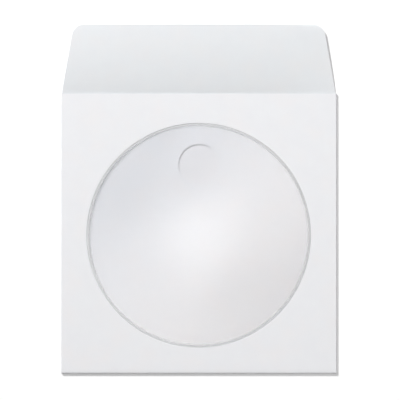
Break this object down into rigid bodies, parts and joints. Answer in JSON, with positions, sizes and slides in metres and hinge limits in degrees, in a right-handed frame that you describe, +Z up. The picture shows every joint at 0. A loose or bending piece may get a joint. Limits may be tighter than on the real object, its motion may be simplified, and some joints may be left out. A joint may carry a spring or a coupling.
{
  "type": "cd sleeve",
  "caption": "White paper sleeve for a disc, with a round clear window, a thumb hole in the back and an open closing flap, lying flat",
  "frame": {"origin": "on the table under the middle of the outline of body and open flap together", "axes": "Z up, out of the face with the window; Y along the sleeve, from the bottom fold to the tip of the flap; X across it"},
  "size_m": [0.125, 0.1578, 0.0019],
  "materials": {
    "paper": "uncoated white paper",
    "film": "clear glossy film"
  },
  "bodies": {
    "root": {"paper_sleeve": "paper", "window_film": "film"}
  },
  "joints": []
}
